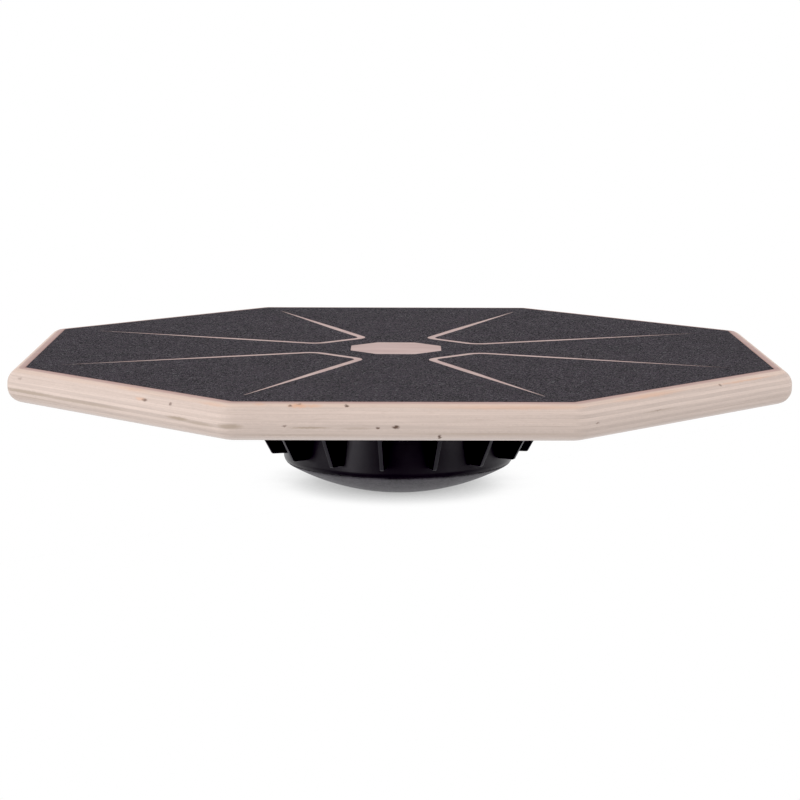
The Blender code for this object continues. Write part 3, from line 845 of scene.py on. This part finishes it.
def make_housing():
    """Cup, flange and outer fins in one mesh with filleted roots, then the inner ribs and the screw pads."""
    core_radius = SOLE_SPHERE_RADIUS - SOLE_THICKNESS
    inside_radius = core_radius - DOME_WALL
    inner_wall = DRUM_RADIUS - DRUM_WALL
    step_height = PARTING_HEIGHT + PARTING_GAP / 2
    core_edge = math.sqrt(core_radius ** 2 - (SPHERE_CENTRE - step_height) ** 2)

    inside = sphere_arc(inside_radius, 0.0, PILLAR_BORE_RADIUS, 3)
    inside += [(PILLAR_BORE_RADIUS, FLANGE_TOP), (PILLAR_RADIUS, FLANGE_TOP)]
    inside += sphere_arc(inside_radius, PILLAR_RADIUS, inner_wall, 12)
    inside += [(inner_wall, FLANGE_TOP)]
    edge_centre = FLANGE_RADIUS - FLANGE_EDGE_RADIUS
    flange = arc((edge_centre, FLANGE_TOP - FLANGE_EDGE_RADIUS), FLANGE_EDGE_RADIUS, math.pi / 2, 0.0, 4)
    flange += arc((edge_centre, FLANGE_BOTTOM + FLANGE_EDGE_RADIUS), FLANGE_EDGE_RADIUS, 0.0, -math.pi / 2, 4)
    rings = [round_ring(radius, height) for radius, height in inside + flange]

    # Down the fins: the fillet under the flange, the slope, the chamfer and the broken bottom edge
    for i in range(FILLET_STEPS + 1):
        angle = math.pi / 2 * (1 - i / FILLET_STEPS)
        height = FLANGE_BOTTOM - FIN_ROOT_FILLET * (1 - math.sin(angle))
        rings.append(full_ring(half_fin(height, FIN_ROOT_FILLET * (1 - math.cos(angle))), height))
    rings.append(full_ring(half_fin(FIN_BOTTOM + FIN_CHAMFER), FIN_BOTTOM + FIN_CHAMFER))
    for i in range(EDGE_STEPS + 1):
        angle = math.pi / 2 * i / EDGE_STEPS
        height = FIN_BOTTOM + FIN_EDGE_RADIUS * (1 - math.sin(angle))
        rings.append(full_ring(half_fin(height, -FIN_EDGE_RADIUS * (1 - math.cos(angle))), height))

    # Below the fins: the drum, its rounded corner, the step for the sole and the domed core
    rings.append(round_ring(drum_radius(FIN_BOTTOM), FIN_BOTTOM))
    edge_height = step_height + PARTING_EDGE_RADIUS
    corner = arc(corner_arc_centre(), DRUM_CORNER_RADIUS, 0.0, corner_arc_angle(edge_height), 8)
    edge_place = (corner[-1][0] - PARTING_EDGE_RADIUS, edge_height)
    corner += arc(edge_place, PARTING_EDGE_RADIUS, -PARTING_LEAN, -math.pi / 2, 4)
    below = corner + sphere_arc(core_radius, core_edge, 0.0, 24)
    rings += [round_ring(radius, height) for radius, height in below]
    housing = new_object("base_body", lofted("base_body", rings))

    carve(housing, rib_plates(), 'UNION')
    pad_bottom = FLANGE_BOTTOM - SCREW_PAD_HEIGHT
    pad_edge = (SCREW_PAD_RADIUS - SCREW_PAD_EDGE, pad_bottom + SCREW_PAD_EDGE)
    pad = arc(pad_edge, SCREW_PAD_EDGE, -math.pi / 2, 0.0, 4)
    pad.append((SCREW_PAD_RADIUS, FLANGE_BOTTOM + FLANGE_THICKNESS / 2))
    carve(housing, screw_ring("pads", pad), 'UNION')
    hole = [(SCREW_HOLE_RADIUS, pad_bottom - CUT_MARGIN), (SCREW_HOLE_RADIUS, FLANGE_TOP + CUT_MARGIN)]
    carve(housing, screw_ring("holes", hole), 'DIFFERENCE')
    smooth(housing, 32.0)
    finish_piece(housing, black_plastic_material(), "black_plastic", "base_housing")


def make_sole():
    """The rubber cap: flush with the drum's rounded corner, then one sphere down to the small flat."""
    inner_radius = SOLE_SPHERE_RADIUS - SOLE_THICKNESS + PARTING_GAP
    edge_height = SOLE_HIGH.z
    inner_edge = math.sqrt(inner_radius ** 2 - (SPHERE_CENTRE - edge_height) ** 2)
    centre = corner_arc_centre()
    touch_angle = math.atan2(centre[1] - SPHERE_CENTRE, centre[0])
    start_angle = corner_arc_angle(edge_height - PARTING_EDGE_RADIUS)
    corner = arc(centre, DRUM_CORNER_RADIUS, start_angle, touch_angle, 12)
    lip_place = (corner[0][0] - PARTING_EDGE_RADIUS, edge_height - PARTING_EDGE_RADIUS)
    lip = arc(lip_place, PARTING_EDGE_RADIUS, math.pi / 2, -PARTING_LEAN, 4)
    profile = sphere_arc(inner_radius, 0.0, inner_edge, 24) + lip + corner[1:]
    touch_radius = SOLE_SPHERE_RADIUS * math.cos(touch_angle)
    profile += sphere_arc(SOLE_SPHERE_RADIUS, touch_radius, SOLE_FLAT_RADIUS, 40)[1:]
    profile += [(SOLE_FLAT_RADIUS - SOLE_SUPPORT, 0.0), (0.0, 0.0)]
    mesh = lofted("sole_cap", turned_rings(profile, even_angles(TURNED_STEPS)))
    sole = new_object("sole_cap", mesh)
    smooth(sole, 32.0)
    finish_piece(sole, rubber_material(), "sole_rubber", "rubber_sole")


# ---------------------------------------------------------------- screws

def screw_blank():
    """Head down, point up, with a real helical thread."""
    angles = even_angles(SCREW_STEPS)
    head_bottom = SCREW_LOW.z
    head_top = head_bottom + SCREW_HEAD_HEIGHT
    dome_centre = (SCREW_HEAD_RADIUS - SCREW_HEAD_ROUNDING, head_bottom + SCREW_HEAD_ROUNDING)
    head = [(0.0, head_bottom)] + arc(dome_centre, SCREW_HEAD_ROUNDING, -math.pi / 2, 0.0, 6)
    head += [(SCREW_HEAD_RADIUS, head_top - SCREW_HEAD_EDGE), (SCREW_HEAD_RADIUS - SCREW_HEAD_EDGE, head_top)]
    rings = turned_rings(head + [(SCREW_CORE_RADIUS, head_top)], angles)
    rows = round((SCREW_HIGH.z - head_top) / SCREW_THREAD_PITCH * THREAD_ROWS_PER_TURN)
    for i in range(1, rows):
        height = blend_value(head_top, SCREW_HIGH.z, i / rows)
        taper = min((SCREW_HIGH.z - height) / SCREW_TIP_LENGTH, 1.0)
        start = min((height - head_top) / SCREW_THREAD_PITCH, 1.0)
        ring = []
        for angle in angles:
            phase = (height / SCREW_THREAD_PITCH - angle / math.tau) % 1.0
            crest = max(0.0, 1.0 - abs(phase - 0.5) / THREAD_HALF_WIDTH)
            radius = taper * (SCREW_CORE_RADIUS + (SCREW_THREAD_RADIUS - SCREW_CORE_RADIUS) * crest * start)
            ring.append((radius * math.cos(angle), radius * math.sin(angle), height))
        rings.append(ring)
    rings.append([(0.0, 0.0, SCREW_HIGH.z)])
    return new_object("screw_blank", lofted("screw_blank", rings))


def recess_cross():
    """The cross recess, narrowing towards its floor, as a Boolean operand."""
    rings = []
    for height, length, width in ((SCREW_LOW.z - 0.5 * MM, RECESS_LENGTH, RECESS_WIDTH),
                                  (SCREW_LOW.z + RECESS_DEPTH, RECESS_FLOOR_LENGTH, RECESS_FLOOR_WIDTH)):
        arm, half = length / 2, width / 2
        ring = []
        for quarter in range(4):
            spin = Matrix.Rotation(quarter * math.pi / 2, 3, 'Z')
            ring += [spin @ Vector((x, y, height)) for x, y in ((arm, -half), (arm, half), (half, half))]
        rings.append(ring)
    return new_object("recess_cross", lofted("recess_cross", rings))


def make_screws():
    blank = screw_blank()
    carve(blank, recess_cross(), 'DIFFERENCE')
    material = zinc_material()
    for number, node in enumerate(SCREW_NODES, 1):
        low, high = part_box(node)
        centre = (low + high) / 2
        mesh = blank.data.copy()
        turn = Matrix.Rotation(SCREW_TURN * number, 4, 'Z')
        mesh.transform(Matrix.Translation((centre.x, centre.y, 0.0)) @ turn)
        screw = new_object(f"screw_{number}", mesh)
        smooth(screw, 35.0)
        finish_piece(screw, material, "screw_steel", node)
    bpy.data.objects.remove(blank, do_unlink=True)


# ---------------------------------------------------------------- stage

def make_floor():
    """A white light table: evenly bright, with a painted shadow close under the dome."""
    bm = bmesh.new()
    bmesh.ops.create_grid(bm, x_segments=1, y_segments=1, size=FLOOR_SIZE / 2)
    mesh = bpy.data.meshes.new("floor")
    bm.to_mesh(mesh)
    bm.free()
    floor = new_object("floor", mesh)
    floor.location.z = -FLOOR_DROP
    material, tree, shader, _ = new_material("white_floor", 0.9, 0.0)
    shader.inputs["Base Color"].default_value = (0.0, 0.0, 0.0, 1.0)
    shader.inputs["Emission Strength"].default_value = 1.0
    sockets = {"Distance": SHADE_REACH, "Normal": combine(tree, *SHADE_DIRECTION)}
    openness = add_node(tree, "ShaderNodeAmbientOcclusion", sockets, samples=16).outputs["AO"]
    # Painted shadow: the floor's glow is dimmed by ambient occlusion close under the dome
    shade = map_range(tree, openness, -0.04, 0.74, 0.05, 1.0, 'SMOOTHSTEP')
    tree.links.new(mix_colour(tree, shade, (0.0, 0.0, 0.0), (1.0, 1.0, 1.0)), shader.inputs["Emission Color"])
    mesh.materials.append(material)
    floor.visible_glossy = False


def softbox(name, azimuth, height, size, power):
    """A rectangular light aimed at the board. The azimuth is in degrees from the front, turning right."""
    light = bpy.data.lights.new(name, 'AREA')
    light.shape = 'RECTANGLE'
    light.size, light.size_y = size
    light.energy = power
    obj = bpy.data.objects.new(name, light)
    bpy.context.scene.collection.objects.link(obj)
    angle = math.radians(azimuth)
    obj.location = (SOFTBOX_DISTANCE * math.sin(angle), -SOFTBOX_DISTANCE * math.cos(angle), height)
    obj.rotation_euler = (Vector((0, 0, DECK_LOW.z)) - obj.location).to_track_quat('-Z', 'Y').to_euler()
    obj.visible_camera = False


def make_lights():
    """A white surround, dark below the horizon towards the front, and four softboxes."""
    world = bpy.data.worlds.new("studio")
    world.use_nodes = True
    tree = world.node_tree
    background = tree.nodes["Background"]
    direction = add_node(tree, "ShaderNodeTexCoord").outputs["Generated"]
    axes = add_node(tree, "ShaderNodeSeparateXYZ", {0: direction}).outputs
    sky = mix_colour(tree, map_range(tree, axes["Z"], 0.1, 0.9), (1.0, 1.0, 1.0), (1.15, 1.15, 1.15))
    below = mix_colour(tree, map_range(tree, axes["Y"], -0.2, 0.85), (FRONT_DARKNESS,) * 3, (1.0, 1.0, 1.0))
    sky = mix_colour(tree, map_range(tree, axes["Z"], -0.02, -0.06), sky, below)
    tree.links.new(sky, background.inputs["Color"])
    background.inputs["Strength"].default_value = 1.0
    bpy.context.scene.world = world
    softbox("left_front", -47, 0.11, (0.4, 0.2), 8.9)
    softbox("left_side", -92, 0.12, (0.5, 0.2), 3.6)
    softbox("right_front", 53, 0.11, (0.28, 0.2), 3.4)
    softbox("right_side", 92, 0.12, (0.5, 0.2), 3.2)


def set_view():
    """Plain view transform, with the black point lifted a little as in a studio print."""
    view = bpy.context.scene.view_settings
    view.view_transform = 'Standard'
    view.look = 'None'
    view.use_curve_mapping = True
    view.curve_mapping.black_level = (BLACK_POINT,) * 3
    view.curve_mapping.update()


def make_camera():
    camera = bpy.data.cameras.new("camera")
    camera.lens = CAMERA_LENS
    camera.sensor_width = SENSOR_WIDTH
    camera.clip_start = 0.01
    camera.clip_end = 200.0
    obj = bpy.data.objects.new("camera", camera)
    bpy.context.scene.collection.objects.link(obj)
    turn = Matrix.Rotation(CAMERA_YAW, 4, 'Z') @ Matrix.Rotation(math.pi / 2 - CAMERA_PITCH, 4, 'X')
    obj.matrix_world = Matrix.Translation(CAMERA_PLACE) @ turn @ Matrix.Rotation(CAMERA_ROLL, 4, 'Z')
    bpy.context.scene.camera = obj


make_camera()
make_deck()
make_grip()
make_housing()
make_sole()
make_screws()
make_floor()
make_lights()
set_view()
